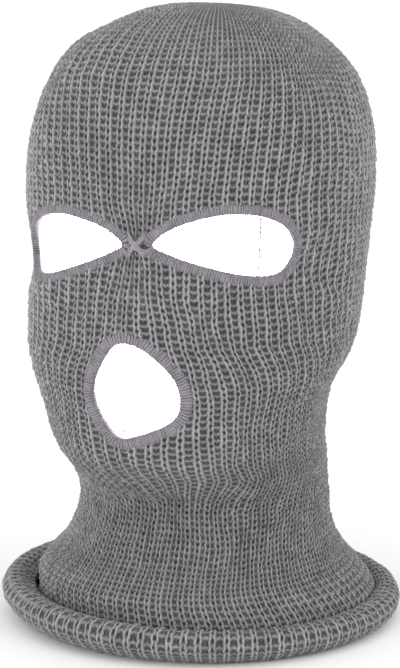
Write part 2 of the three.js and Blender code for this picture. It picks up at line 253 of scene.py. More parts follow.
def rib_shift(across, z):
    """How far, in metres, the stitches are pulled sideways on the face: together over the bridge, apart
    round the mouth, together again under the chin, and slanting on the wearer's right cheek."""
    bridge = -0.50 * across * hump(across, 0.017) * hump(z - eye_line, 0.015)
    mouth = 0.0050 * np.tanh(across / 0.012) * hump(across, 0.050) * hump(z - mouth_line, 0.026)
    chin = -0.22 * across * hump(across, 0.030) * hump(z - 0.066, 0.012)
    cheek = -0.0050 * np.tanh((z - 0.135) / 0.03) * hump(across + 0.070, 0.035) * hump(z - 0.135, 0.06)
    return bridge + mouth + chin + cheek


course_grid = np.repeat(row_course[:, None], column_count, axis=1)
share_grid = np.repeat(column_share[None, :], row_count, axis=0)
height_share = row_course[:, None] / course_count
free_rows = np.clip((row_course - roll_course - 2) / 6, 0, 1)
free_rows = free_rows * np.clip((course_count - row_course) / 12, 0, 1)
sway = (soft_noise(share_grid, height_share, 18, 9, 11)
        + 0.4 * soft_noise(share_grid, height_share, 60, 26, 12))
sampled_course = course_grid + 0.45 * sway * free_rows[:, None]
path_half = np.interp(sampled_course, path_course, fabric_path[:, 0])
path_z = np.interp(sampled_course, path_course, fabric_path[:, 1])

round_angle = np.linspace(-math.pi, math.pi, 721)
angle_grid = np.empty_like(share_grid)
wobble = (0.0009 * soft_noise(share_grid, height_share, 44, 30, 5)
          + 0.0003 * soft_noise(share_grid, height_share, 288, 110, 6))
for row in range(row_count):
    level_half = np.interp(row_course[row], path_course, fabric_path[:, 0])
    level_z = np.interp(row_course[row], path_course, fabric_path[:, 1])
    ring = form_point(level_half, round_angle, level_z)
    round_length = np.concatenate([[0], np.cumsum(np.linalg.norm(np.diff(ring, axis=0), axis=1))])
    narrowing = level_half / at_height(HALF, crown_base) if level_z > crown_base else 1.0
    share = crown_columns(column_share, max(narrowing, 0.004))
    middle_angle = (round_angle[1:] + round_angle[:-1]) / 2
    taken = np.concatenate([[0], np.cumsum(np.diff(round_length) / stretch(middle_angle, level_z))])
    taken /= taken[-1]
    at_darts = np.interp(taken, np.interp(dart_angle, round_angle, taken), dart_share)
    on_crown = np.clip((level_z - crown_base) / 0.06, 0, 1)
    taken = taken * (1 - on_crown) + at_darts * on_crown
    middle_length = np.interp(0, round_angle, round_length)
    across = np.interp(share, taken, round_length) - middle_length
    below_crown = np.clip((crown_base + 0.02 - level_z) / 0.03, 0, 1) * free_rows[row]
    across = across + (rib_shift(across, level_z) + wobble[row]) * below_crown
    angle_grid[row] = np.interp(across + middle_length, round_length, round_angle)

rolled = np.clip((path_half - bell_radius) / (roll_inside - bell_radius), 0, 1) * (path_z < bell_height)
tilted_z = path_z * (1 - hem_tilt * rolled * np.sin(angle_grid))
smooth_outer = form_point(path_half, angle_grid, tilted_z)

# Broad folds that the fabric keeps: a crease where it turns in under the chin and small ones by the ears
chin_crease = -0.0012 * hump(angle_grid, 0.8) * hump(tilted_z - 0.0665, 0.0035)
ear_fold = 0.0010 * np.sin((tilted_z + 0.35 * path_half * angle_grid) / 0.0033) * hump(
    np.abs(angle_grid) - 1.15, 0.20) * hump(tilted_z - eye_line + 0.024, 0.014)
crown_dent = (-0.0030 * hump(angle_grid - 1.7, 0.45) * hump(tilted_z - crown_top.z + 0.013, 0.011)
              - 0.0022 * hump(angle_grid + 1.3, 0.5) * hump(tilted_z - crown_top.z + 0.046, 0.022)
              - 0.0016 * hump(angle_grid + 1.1, 0.5) * hump(tilted_z - crown_top.z + 0.008, 0.007))
slack = 0.0006 * sway * free_rows[:, None] + crown_dent

# The skirt stands unevenly: drawn in above the hem at the wearer's left, and let out a little, with the
# roll, at the wearer's right
side_way = np.sin(angle_grid)
skirt_shift = ((0.0026 + 0.0008 * side_way) * hump(tilted_z - 0.012, 0.009) * (1 - rolled)
               - 0.0052 * np.clip(side_way, 0, 1) * hump(tilted_z - 0.0265, 0.009)
               - 0.0014 * np.clip(-side_way, 0, 1) * hump(tilted_z - 0.040, 0.010)
               - 0.0022 * np.clip(-side_way, 0, 1) * rolled)
smooth_outer[:, :, 0] += skirt_shift


def surface_normals(points):
    """Outward directions of a grid of points whose columns join up round the hood."""
    round_way = np.roll(points, -2, axis=1) - np.roll(points, 2, axis=1)
    upward = np.gradient(points, axis=0)
    normal = np.cross(round_way, upward)
    length = np.linalg.norm(normal, axis=2, keepdims=True)
    return normal / np.maximum(length, 1e-12)


outer_normal = surface_normals(smooth_outer)
smooth_outer += outer_normal * (chin_crease + ear_fold + slack)[:, :, None]
half_rib = COLUMNS_PER_RIB // 2
rib_width = np.linalg.norm(
    np.roll(smooth_outer, -half_rib, axis=1) - np.roll(smooth_outer, half_rib, axis=1), axis=2)
rib_width = (np.roll(rib_width, -3, axis=1) + rib_width + np.roll(rib_width, 3, axis=1)) / 3
openness = np.clip((rib_width - WALE_TIGHT) / (WALE_OPEN - WALE_TIGHT), 0, 1)
unevenness = np.random.default_rng(3).uniform(-1, 1, (RIBS, course_count + 1))


def stitch_relief(rib, course, open_knit):
    """Height of the knit from 0 to 1: the two legs of each V stitch on the rib, purl bars in the gutter."""
    across = np.abs(rib % 1.0 - 0.5) * 2
    along = course % 1.0
    wale = 0.74 - 0.22 * open_knit
    rise = 0.5 - 0.5 * np.sin(np.clip((across - wale) / 0.20, -1, 1) * math.pi / 2)
    leg = hump(across - wale * (0.48 + 0.30 * along), 0.20)
    bar = hump(along - 0.50 + 0.22 * across ** 2, 0.26)
    uneven = 1 + 0.22 * unevenness[np.floor(rib).astype(int) % RIBS, np.floor(course).astype(int)]
    sunk = (1 - rise) * (0.04 + 0.44 * bar * (0.4 + 0.6 * open_knit) * uneven)
    return (rise * (0.34 + 0.66 * leg) * uneven + sunk).clip(0, 1.2)


# Outlines of the three openings laid flat: x runs round the face and y is the height. Each is listed as
# shares of its length and height about its middle
EYE_LENGTH, EYE_HEIGHT, RIGHT_EYE_SAG, BRIDGE_GAP = 0.070, 0.028, 0.003, 0.0134
MOUTH_WIDTH, MOUTH_HEIGHT, MOUTH_OFFSET = 0.042, 0.043, -0.0015
EYE_EDGING_WIDTH, MOUTH_EDGING_WIDTH = 0.0042, 0.0052
EDGE_THICKNESS, THINNED_WIDTH = 0.0029, 0.011
EDGING_OVERLAP = 0.0013
eye_shares = np.array([
    (-0.5, 0.05), (-0.43, -0.09), (-0.18, -0.3), (0.14, -0.47), (0.38, -0.44),
    (0.5, -0.12), (0.42, 0.25), (0.2, 0.47), (-0.06, 0.5), (-0.34, 0.33),
])
mouth_shares = np.array([
    (-0.31, 0.37), (-0.5, 0.04), (-0.44, -0.25), (-0.22, -0.5), (0.02, -0.48),
    (0.39, -0.32), (0.5, -0.12), (0.42, 0.16), (0.12, 0.45), (-0.13, 0.5),
])


def eye_outline(side, sag):
    """A long drop with its point at the bridge and its round end at the temple, which may hang by a sag."""
    x, y = eye_shares[:, 0], eye_shares[:, 1]
    drop = (x + 0.5) * sag
    flat = np.stack([side * x * EYE_LENGTH, y * EYE_HEIGHT - drop], axis=1)
    if side < 0:
        flat = flat[::-1]
    return smooth_line(flat + (side * (BRIDGE_GAP + EYE_LENGTH) / 2, eye_line - 0.0008), 10, closed=True)


mouth_outline = smooth_line(mouth_shares * (MOUTH_WIDTH, MOUTH_HEIGHT) + (MOUTH_OFFSET, mouth_line), 10,
                            closed=True)
openings = {
    "left_eye_edging": (eye_outline(1, 0.0), EYE_EDGING_WIDTH),
    "right_eye_edging": (eye_outline(-1, RIGHT_EYE_SAG), EYE_EDGING_WIDTH),
    "mouth_edging": (mouth_outline, MOUTH_EDGING_WIDTH),
}


def distance_outside(outline, x, y):
    """Distance of flat points outside a closed outline, negative inside it."""
    point = np.stack([x, y], axis=-1)[:, None, :]
    start, end = outline, np.roll(outline, -1, axis=0)
    side = end - start
    t = np.clip(((point - start) * side).sum(-1) / (side ** 2).sum(-1), 0, 1)
    gap = np.linalg.norm(point - start - t[..., None] * side, axis=-1).min(axis=1)
    crosses = (start[:, 1] > point[..., 1]) != (end[:, 1] > point[..., 1])
    rise = np.where(side[:, 1] == 0, 1, side[:, 1])
    meets = start[:, 0] + side[:, 0] * (point[..., 1] - start[:, 1]) / rise
    inside = (crosses & (point[..., 0] < meets)).sum(axis=1) % 2 == 1
    return np.where(inside, -gap, gap)


# The fabric is drawn thinner where it runs into the edging of an opening
flat_x = angle_grid * (at_height(REACH, tilted_z) + at_height(CENTRE, tilted_z))
thickness = np.full(angle_grid.shape, KNIT_THICKNESS)
opening_gap = np.full(angle_grid.shape, 1.0)
for outline, width in openings.values():
    near = (np.abs(flat_x - outline[:, 0].mean()) < 0.06) & (np.abs(tilted_z - outline[:, 1].mean()) < 0.045)
    near &= np.abs(angle_grid) < 1.6
    gap = distance_outside(outline, flat_x[near], tilted_z[near]) - width
    opening_gap[near] = np.minimum(opening_gap[near], gap)
thickness -= (KNIT_THICKNESS - EDGE_THICKNESS) * (1 - np.clip(opening_gap / THINNED_WIDTH, 0, 1)) ** 2

rib_grid = share_grid * RIBS
relief_size = HEAD_RELIEF * np.clip((rib_width - 0.0012) / 0.0023, 0, 1) * (1 - 0.4 * rolled)
outer_relief = stitch_relief(rib_grid, course_grid, openness)
inner_relief = stitch_relief(rib_grid + 0.5, course_grid, openness)
outer_points = smooth_outer + outer_normal * (relief_size * (outer_relief - 0.62))[:, :, None]
inner_points = smooth_outer - outer_normal * (
    thickness - relief_size * 0.5 + relief_size * (inner_relief - 0.5))[:, :, None]
inner_points[:, :, 2] = np.maximum(inner_points[:, :, 2], TABLE_GAP)

# The free edge is rounded over with three rings
edge_middle = (outer_points[0] + inner_points[0]) / 2
edge_across = outer_points[0] - edge_middle
edge_out = smooth_outer[0] - smooth_outer[2]
edge_out *= (np.linalg.norm(edge_across, axis=1) / np.linalg.norm(edge_out, axis=1))[:, None]
edge_out *= (0.75 + 0.45 * hump(rib_grid[0] % 1.0 - 0.5, 0.28))[:, None]
edge_rings = [edge_middle + edge_across * math.cos(t) + edge_out * math.sin(t)
              for t in (math.pi / 4, math.pi / 2, math.pi * 3 / 4)]

# Blocks of two by two stitch cells are cut away in the openings, a little under where the edging covers
kept = opening_gap[1::2, 1::2][:(row_count - 1) // 2] > -EDGING_OVERLAP

# Corner numbering: the outer grid, the edge rings, the fine inner rows of the roll, then the inner rows
# above them with every second corner, and the two tips
RINGS_FROM = row_count * column_count
FINE_FROM = RINGS_FROM + 3 * column_count
COARSE_FROM = FINE_FROM + (roll_rows + 1) * column_count
coarse_rows = np.arange(roll_rows + 2, row_count, 2)
coarse_columns = column_count // 2
OUTER_TIP = COARSE_FROM + len(coarse_rows) * coarse_columns
INNER_TIP = OUTER_TIP + 1
corner_places = np.concatenate([
    outer_points.reshape(-1, 3), np.concatenate(edge_rings), inner_points[:roll_rows + 1].reshape(-1, 3),
    inner_points[coarse_rows][:, ::2].reshape(-1, 3),
    outer_points[-1].mean(axis=0)[None], inner_points[-1].mean(axis=0)[None],
])

INNER_SPAN = 0.30
hood_faces, hood_maps = [], []


def map_place(row, column, inner):
    """A corner's place on the two flat maps: the unrolled fabric, and the count of ribs and courses."""
    row = np.asarray(row, float)
    if inner:
        up = INNER_SPAN * (1 - row / row_count) - 0.005
    else:
        up = INNER_SPAN + 0.01 + (0.985 - INNER_SPAN) * row / row_count
    column = np.asarray(column, float)
    rib = column / COLUMNS_PER_RIB + (0.5 if inner else 0.0)
    return np.stack(np.broadcast_arrays(column / column_count, up, rib, row / ROWS_PER_COURSE), axis=-1)


def outer_index(row, column):
    return row * column_count + column % column_count


def inner_index(row, column):
    fine = FINE_FROM + row * column_count + column % column_count
    coarse = COARSE_FROM + (row - roll_rows - 2) // 2 * coarse_columns + (column // 2) % coarse_columns
    return np.where(row <= roll_rows, fine, coarse)


def add_faces(corners, maps):
    hood_faces.append(np.stack(np.broadcast_arrays(*corners), axis=-1).reshape(-1, len(corners)))
    hood_maps.append(np.stack(np.broadcast_arrays(*maps), axis=-2).reshape(-1, 4))


def add_grid(rows, columns, step, index, inner):
    """Four-sided faces between grid lines, looking outward on the outer face and inward on the inner."""
    turn_order = [(0, 0), (0, step), (step, step), (step, 0)]
    if inner:
        turn_order = [(0, 0), (step, 0), (step, step), (0, step)]
    add_faces([index(rows + dr, columns + dc) for dr, dc in turn_order],
              [map_place(rows + dr, columns + dc, inner) for dr, dc in turn_order])


cell_rows, cell_columns = np.meshgrid(np.arange(row_count - 1), np.arange(column_count), indexing="ij")
cell_kept = np.repeat(np.repeat(kept, 2, axis=0), 2, axis=1)
add_grid(cell_rows[cell_kept], cell_columns[cell_kept], 1, outer_index, False)
fine_rows, fine_columns = np.meshgrid(np.arange(roll_rows), np.arange(column_count), indexing="ij")
add_grid(fine_rows.ravel(), fine_columns.ravel(), 1, inner_index, True)
block_rows, block_columns = np.meshgrid(np.arange(0, row_count - 1, 2), np.arange(0, column_count, 2),
                                        indexing="ij")
above_roll = kept & (block_rows > roll_rows)
add_grid(block_rows[above_roll], block_columns[above_roll], 2, inner_index, True)

# The inner row where fine corners meet coarse ones
joint = np.arange(0, column_count, 2)
fine, coarse = roll_rows, roll_rows + 2
for places in (((fine, 0), (coarse, 0), (fine, 1)), ((fine, 1), (coarse, 0), (coarse, 2), (fine, 2))):
    add_faces([inner_index(np.int64(r), joint + c) for r, c in places],
              [map_place(r, joint + c, True) for r, c in places])

# Narrow walls that close the fabric round the openings
for row_step, column_step, first, middle, last in (
        (-1, 0, (0, 0), (0, 1), (0, 2)), (0, 1, (0, 2), (1, 2), (2, 2)),
        (1, 0, (2, 2), (2, 1), (2, 0)), (0, -1, (2, 0), (1, 0), (0, 0))):
    beyond = np.roll(kept, (-row_step, -column_step), axis=(0, 1))
    cut = kept & ~beyond
    r, c = block_rows[cut], block_columns[cut]
    a, m, b = [outer_index(r + dr, c + dc) for dr, dc in (first, middle, last)]
    in_a, in_b = [inner_index(r + dr, c + dc) for dr, dc in (first, last)]
    map_a, map_m, map_b = [map_place(r + dr, c + dc, False) for dr, dc in (first, middle, last)]
    add_faces([b, m, in_b], [map_b, map_m, map_b])
    add_faces([m, a, in_a, in_b], [map_m, map_a, map_a, map_b])

# The rounded free edge and the two tips of the crown
all_columns = np.arange(column_count)
next_columns = all_columns + 1
edge_lines = [lambda c: c % column_count]
edge_lines += [lambda c, k=k: RINGS_FROM + k * column_count + c % column_count for k in range(3)]
edge_lines += [lambda c: FINE_FROM + c % column_count]
for k in range(4):
    near_map, far_map = [np.asarray((0, -0.002 * (k + n), 0, 0)) for n in (0, 1)]
    first_row, next_row = map_place(0, all_columns, False), map_place(0, next_columns, False)
    add_faces([edge_lines[k](next_columns), edge_lines[k](all_columns),
               edge_lines[k + 1](all_columns), edge_lines[k + 1](next_columns)],
              [next_row + near_map, first_row + near_map, first_row + far_map, next_row + far_map])
last = row_count - 1
add_faces([outer_index(last, all_columns), outer_index(last, next_columns), np.full(column_count, OUTER_TIP)],
          [map_place(last, all_columns, False), map_place(last, next_columns, False),
           map_place(last + 1, all_columns + 0.5, False)])
pairs = np.arange(0, column_count, 2)
add_faces([inner_index(np.int64(last), pairs), np.full(coarse_columns, INNER_TIP),
           inner_index(np.int64(last), pairs + 2)],
          [map_place(last, pairs, True), map_place(last + 1, pairs + 1, True),
           map_place(last, pairs + 2, True)])


def make_piece(name, places, faces):
    """A smooth-shaded piece from corner places and faces of any number of sides."""
    mesh = bpy.data.meshes.new(name)
    mesh.from_pydata(np.asarray(places).tolist(), [], faces)
    mesh.shade_smooth()
    piece = bpy.data.objects.new(name, mesh)
    bpy.context.collection.objects.link(piece)
    return piece


def add_map(piece, name, places):
    piece.data.uv_layers.new(name=name).data.foreach_set("uv", np.asarray(places, np.float32).ravel())


used = np.unique(np.concatenate([f.ravel() for f in hood_faces]))
renumber = np.zeros(len(corner_places), np.int64)
renumber[used] = np.arange(len(used))
knit = make_piece("knit_hood_fabric", corner_places[used],
                  [face for f in hood_faces for face in renumber[f].tolist()])
all_maps = np.concatenate(hood_maps)
add_map(knit, "OFBake", all_maps[:, :2])
add_map(knit, "Stitches", all_maps[:, 2:])

# Each corner also knows how open the knit is there and how deep it lies in the relief
grid_openness = np.concatenate([
    openness.ravel(), np.tile(openness[0], 3), openness[:roll_rows + 1].ravel(),
    openness[coarse_rows][:, ::2].ravel(), [0.5, 0.5]])
grid_relief = np.concatenate([
    outer_relief.ravel(), np.tile(outer_relief[0], 3), inner_relief[:roll_rows + 1].ravel(),
    inner_relief[coarse_rows][:, ::2].ravel(), [0.5, 0.5]])
grid_outside = np.zeros(len(corner_places))
grid_outside[:COARSE_FROM] = 1
grid_outside[OUTER_TIP] = 1
for name, values in (("openness", grid_openness), ("relief", grid_relief), ("outside", grid_outside)):
    attribute = knit.data.attributes.new(name, "FLOAT", "POINT")
    attribute.data.foreach_set("value", values[used].astype(np.float32))


def calc(tree, operation, *values, clamp=False):
    """One Math node. Each value is a number or another node's output."""
    node = tree.nodes.new("ShaderNodeMath")
    node.operation = operation
    node.use_clamp = clamp
    for socket, value in zip(node.inputs, values):
        if isinstance(value, (int, float)):
            socket.default_value = value
        else:
            tree.links.new(value, socket)
    return node.outputs[0]


def new_group(name, inputs, outputs):
    """A shader node group with named sockets: (name, socket type, starting value)."""
    group = bpy.data.node_groups.new(name, "ShaderNodeTree")
    for label, kind, value in inputs:
        socket = group.interface.new_socket(name=label, in_out="INPUT", socket_type=kind)
        if value is not None:
            socket.default_value = value
    for label, kind in outputs:
        group.interface.new_socket(name=label, in_out="OUTPUT", socket_type=kind)
    return group, group.nodes.new("NodeGroupInput").outputs, group.nodes.new("NodeGroupOutput").inputs


def use_group(tree, group, **values):
    """Places a node group. Values are numbers, colours or other nodes' outputs, by socket name."""
    node = tree.nodes.new("ShaderNodeGroup")
    node.node_tree = group
    for name, value in values.items():
        socket = node.inputs[name.replace("_", " ")]
        if isinstance(value, bpy.types.NodeSocket):
            tree.links.new(value, socket)
        else:
            socket.default_value = value
    return node.outputs


def blend_colours(tree, amount, first, second):
    """A Mix node between two colours, each a fixed colour or another node's output."""
    node = tree.nodes.new("ShaderNodeMix")
    node.data_type = "RGBA"
    for socket, value in ((node.inputs[0], amount), (node.inputs[6], first), (node.inputs[7], second)):
        if isinstance(value, bpy.types.NodeSocket):
            tree.links.new(value, socket)
        else:
            socket.default_value = value
    return node.outputs[2]


def noise(tree, place, scale, detail=2.0, roughness=0.5):
    node = tree.nodes.new("ShaderNodeTexNoise")
    node.inputs["Scale"].default_value = scale
    node.inputs["Detail"].default_value = detail
    node.inputs["Roughness"].default_value = roughness
    tree.links.new(place, node.inputs["Vector"])
    return node.outputs["Fac"]


def scaled_place(tree, place, scale):
    node = tree.nodes.new("ShaderNodeMapping")
    node.inputs["Scale"].default_value = scale
    tree.links.new(place, node.inputs["Vector"])
    return node.outputs["Vector"]


# Spun yarn: fine fibres, a heathered colour and a soft bump, used by the knit, the threads and the label
yarn, yarn_in, yarn_out = new_group("spun yarn", [
    ("Place", "NodeSocketVector", None), ("Dark", "NodeSocketColor", (0.1, 0.1, 0.1, 1)),
    ("Light", "NodeSocketColor", (0.3, 0.3, 0.3, 1)), ("Fibre size", "NodeSocketFloat", 1.0),
    ("Lightness", "NodeSocketFloat", 0.5)],
    [("Colour", "NodeSocketColor"), ("Fibres", "NodeSocketFloat")])
fibre_place = yarn.nodes.new("ShaderNodeVectorMath")
fibre_place.operation = "SCALE"
yarn.links.new(yarn_in["Place"], fibre_place.inputs[0])
yarn.links.new(yarn_in["Fibre size"], fibre_place.inputs["Scale"])
fibres = noise(yarn, fibre_place.outputs[0], 900.0, detail=3.0, roughness=0.7)
heather = noise(yarn, fibre_place.outputs[0], 160.0, detail=2.0)
patches = noise(yarn, fibre_place.outputs[0], 12.0, detail=1.0)
tone = calc(yarn, "ADD", yarn_in["Lightness"],
            calc(yarn, "MULTIPLY", calc(yarn, "SUBTRACT", heather, 0.5), 0.7))
tone = calc(yarn, "ADD", tone, calc(yarn, "MULTIPLY", calc(yarn, "SUBTRACT", fibres, 0.5), 0.9))
tone = calc(yarn, "ADD", tone, calc(yarn, "MULTIPLY", calc(yarn, "SUBTRACT", patches, 0.5), 0.1), clamp=True)
yarn.links.new(blend_colours(yarn, tone, yarn_in["Dark"], yarn_in["Light"]), yarn_out["Colour"])
yarn.links.new(fibres, yarn_out["Fibres"])

# Rib stitches drawn finer than the mesh: the two twisted legs of each V, the gap between them, and the purl
# bars with the openings beside them in the gutter. The gap and the openings are given out as painted shade.
stitches, stitches_in, stitches_out = new_group("rib stitches", [
    ("Place", "NodeSocketVector", None), ("Openness", "NodeSocketFloat", 0.5)],
    [("Height", "NodeSocketFloat"), ("Hole shade", "NodeSocketFloat")])
split = stitches.nodes.new("ShaderNodeSeparateXYZ")
stitches.links.new(stitches_in["Place"], split.inputs[0])
drift = noise(stitches, stitches_in["Place"], 1.7, detail=2.0)
strays = noise(stitches, stitches_in["Place"], 5.5, detail=2.0, roughness=0.6)
rib_place = calc(stitches, "MULTIPLY_ADD", calc(stitches, "SUBTRACT", drift, 0.5), 0.22, split.outputs["X"])
rib_turn = calc(stitches, "FRACT", rib_place)
across = calc(stitches, "MULTIPLY",
              calc(stitches, "ABSOLUTE", calc(stitches, "SUBTRACT", rib_turn, 0.5)), 2.0)
course_place = calc(stitches, "MULTIPLY_ADD", calc(stitches, "SUBTRACT", strays, 0.5), 0.55,
                    split.outputs["Y"])
along = calc(stitches, "FRACT", course_place)
openness_in = stitches_in["Openness"]
wale = calc(stitches, "MULTIPLY_ADD", openness_in, -0.22, 0.74)
leg_place = calc(stitches, "MULTIPLY", wale, calc(stitches, "MULTIPLY_ADD", along, 0.30, 0.48))
from_leg = calc(stitches, "DIVIDE", calc(stitches, "SUBTRACT", across, leg_place), 0.20)
leg = calc(stitches, "SUBTRACT", 1.0, calc(stitches, "MULTIPLY", from_leg, from_leg), clamp=True)
strand_turn = calc(stitches, "MULTIPLY_ADD", across, 9.0, calc(stitches, "MULTIPLY", along, 14.0))
strands = calc(stitches, "MULTIPLY_ADD", calc(stitches, "SINE", strand_turn), 0.12, 0.88)
in_gutter = calc(stitches, "MULTIPLY_ADD", calc(stitches, "SUBTRACT", across, wale), 5.0, 0.35, clamp=True)
on_rib = calc(stitches, "SUBTRACT", 1.0, in_gutter)
bar_place = calc(stitches, "MULTIPLY_ADD", calc(stitches, "MULTIPLY", across, across), -0.22, 0.50)
from_bar = calc(stitches, "ABSOLUTE", calc(stitches, "SUBTRACT", along, bar_place))
bar = calc(stitches, "MULTIPLY_ADD", from_bar, -3.4, 1.0, clamp=True)
rib_height = calc(stitches, "MULTIPLY", calc(stitches, "MULTIPLY", leg, strands), on_rib)
full_height = calc(stitches, "MULTIPLY_ADD", calc(stitches, "MULTIPLY", in_gutter, bar), 0.6, rib_height)
stitches.links.new(full_height, stitches_out["Height"])
# Painted shade: dark put into the gap between the legs and into the gutter openings beside the purl bars,
# less where the knit is tight
inside_legs = calc(stitches, "SUBTRACT", leg_place, across)
between_legs = calc(stitches, "MULTIPLY_ADD", inside_legs, 9.0, -0.7, clamp=True)
from_eye = calc(stitches, "ABSOLUTE", calc(stitches, "SUBTRACT", along, 0.62))
eye = calc(stitches, "MULTIPLY", between_legs,
           calc(stitches, "MULTIPLY_ADD", from_eye, -3.6, 1.35, clamp=True))
beside_leg = calc(stitches, "MULTIPLY_ADD", calc(stitches, "SUBTRACT", 1.0, across), 2.4, 0.55, clamp=True)
uneven_hole_shade = calc(stitches, "MULTIPLY_ADD", strays, 3.0, -0.45, clamp=True)
hole_shade = calc(stitches, "MULTIPLY", calc(stitches, "MULTIPLY", in_gutter, calc(stitches, "SUBTRACT", 1.0, bar)),
            calc(stitches, "MULTIPLY", beside_leg, uneven_hole_shade))
hole_shade = calc(stitches, "MULTIPLY", hole_shade, calc(stitches, "MULTIPLY_ADD", openness_in, 0.45, 0.45))
stitches.links.new(calc(stitches, "MAXIMUM", eye, hole_shade), stitches_out["Hole shade"])


def new_material(name, roughness, sheen):
    """A material with one Principled shader for dull yarn. Roughness and sheen are fixed."""
    material = bpy.data.materials.new(name)
    material.use_nodes = True
    shader = material.node_tree.nodes["Principled BSDF"]
    shader.inputs["Roughness"].default_value = roughness
    shader.inputs["Sheen Weight"].default_value = sheen
    shader.inputs["Sheen Roughness"].default_value = 0.6
    shader.inputs["Specular IOR Level"].default_value = 0.15
    return material, material.node_tree, shader


def bump(tree, height, distance):
    node = tree.nodes.new("ShaderNodeBump")
    node.inputs["Distance"].default_value = distance
    tree.links.new(height, node.inputs["Height"])
    return node.outputs["Normal"]


def read_value(tree, name):
    node = tree.nodes.new("ShaderNodeAttribute")
    node.attribute_name = name
    return node.outputs["Fac"]


def read_map(tree, name):
    node = tree.nodes.new("ShaderNodeUVMap")
    node.uv_map = name
    return node.outputs["UV"]


# The yarn runs from the middle grey in its low places to the light grey on the raised legs, and the
# near-black goes into the stitch holes: all painted shade
KNIT_HOLE_SHADE = (0.006, 0.006, 0.007, 1)
KNIT_MIDDLE = (0.078, 0.078, 0.080, 1)
KNIT_LIGHT = (0.39, 0.39, 0.396, 1)
knit_material, tree, shader = new_material("grey acrylic rib knit", 0.92, 0.25)
rib_pattern = use_group(tree, stitches, Place=read_map(tree, "Stitches"),
                        Openness=read_value(tree, "openness"))
rest_place = tree.nodes.new("ShaderNodeTexCoord").outputs["Object"]
# Lighter on the raised legs and high in the relief, darker where the knit lies low: painted shade from the
# stitch height and the mesh relief
mesh_relief = read_value(tree, "relief")
tone_and_relief_shade = calc(tree, "MULTIPLY_ADD", rib_pattern["Height"], 0.55, calc(tree, "MULTIPLY", mesh_relief, 0.35))
yarn_colour = use_group(tree, yarn, Place=rest_place, Dark=KNIT_MIDDLE, Light=KNIT_LIGHT, Lightness=tone_and_relief_shade)
# Painted shade in the stitch holes, strong on the outer face and faint on the inner one, where light comes in
# through the holes
shade = calc(tree, "MULTIPLY", rib_pattern["Hole shade"],
             calc(tree, "MULTIPLY_ADD", read_value(tree, "outside"), 0.86, 0.05))
tree.links.new(blend_colours(tree, shade, yarn_colour["Colour"], KNIT_HOLE_SHADE), shader.inputs["Base Color"])
knit_height = calc(tree, "MULTIPLY_ADD", yarn_colour["Fibres"], 0.18, rib_pattern["Height"])
tree.links.new(bump(tree, knit_height, 0.0006), shader.inputs["Normal"])
knit.data.materials.append(knit_material)

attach(knit, "hood")
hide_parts("knit_hood")


# ---- The thread edging round the openings ----
# Close overlocked thread, a slightly lighter mauve grey than the knit, wrapped over the cut fabric edge. The
# threads lie side by side across the edge, and their outer ends bite unevenly into the ribs.

STITCH_PITCH = 0.00115
STEPS_PER_STITCH = 6
ROUND_STEPS = 26
EDGING_THICKNESS = 0.0039
EDGING_LIP = 0.0003
THREAD_BULGE = 0.00034
THREAD_LEAN = 0.45
RAGGED = 0.0009


def spaced_loop(outline, spacing):
    """Equally spaced points on a closed outline, with the direction away from the opening at each."""
    closed = np.vstack([outline, outline[:1]])
    length = np.concatenate([[0], np.cumsum(np.linalg.norm(np.diff(closed, axis=0), axis=1))])
    count = STEPS_PER_STITCH * round(length[-1] / spacing / STEPS_PER_STITCH)
    at = np.linspace(0, length[-1], count, endpoint=False)
    loop = np.stack([np.interp(at, length, closed[:, k]) for k in (0, 1)], axis=1)
    for _ in range(12):
        loop = (np.roll(loop, 1, axis=0) + 2 * loop + np.roll(loop, -1, axis=0)) / 4
    ahead = np.roll(loop, -3, axis=0) - np.roll(loop, 3, axis=0)
    away = np.stack([ahead[:, 1], -ahead[:, 0]], axis=1) / np.linalg.norm(ahead, axis=1)[:, None]
    return loop, away


def on_face(x, z, outward):
    """Bends a flat place round the face and lifts it off the fabric."""
    angle = x / (at_height(REACH, z) + at_height(CENTRE, z))
    surface = form_point(outer_half(z), angle, z)
    away = np.stack([np.sin(angle), -np.cos(angle), np.zeros_like(angle)], axis=-1)
    return surface + away * np.asarray(outward)[..., None]


def grid_faces(rows, columns, closed_rows=True):
    """Four-sided faces of a grid whose columns join up, and whose rows do too when it is a ring."""
    r = np.arange(rows if closed_rows else rows - 1)[:, None]
    c = np.arange(columns)[None, :]
    places = [(r, c), (r, c + 1), (r + 1, c + 1), (r + 1, c)]
    return np.stack([(a % rows) * columns + b % columns for a, b in places], axis=-1).reshape(-1, 4)


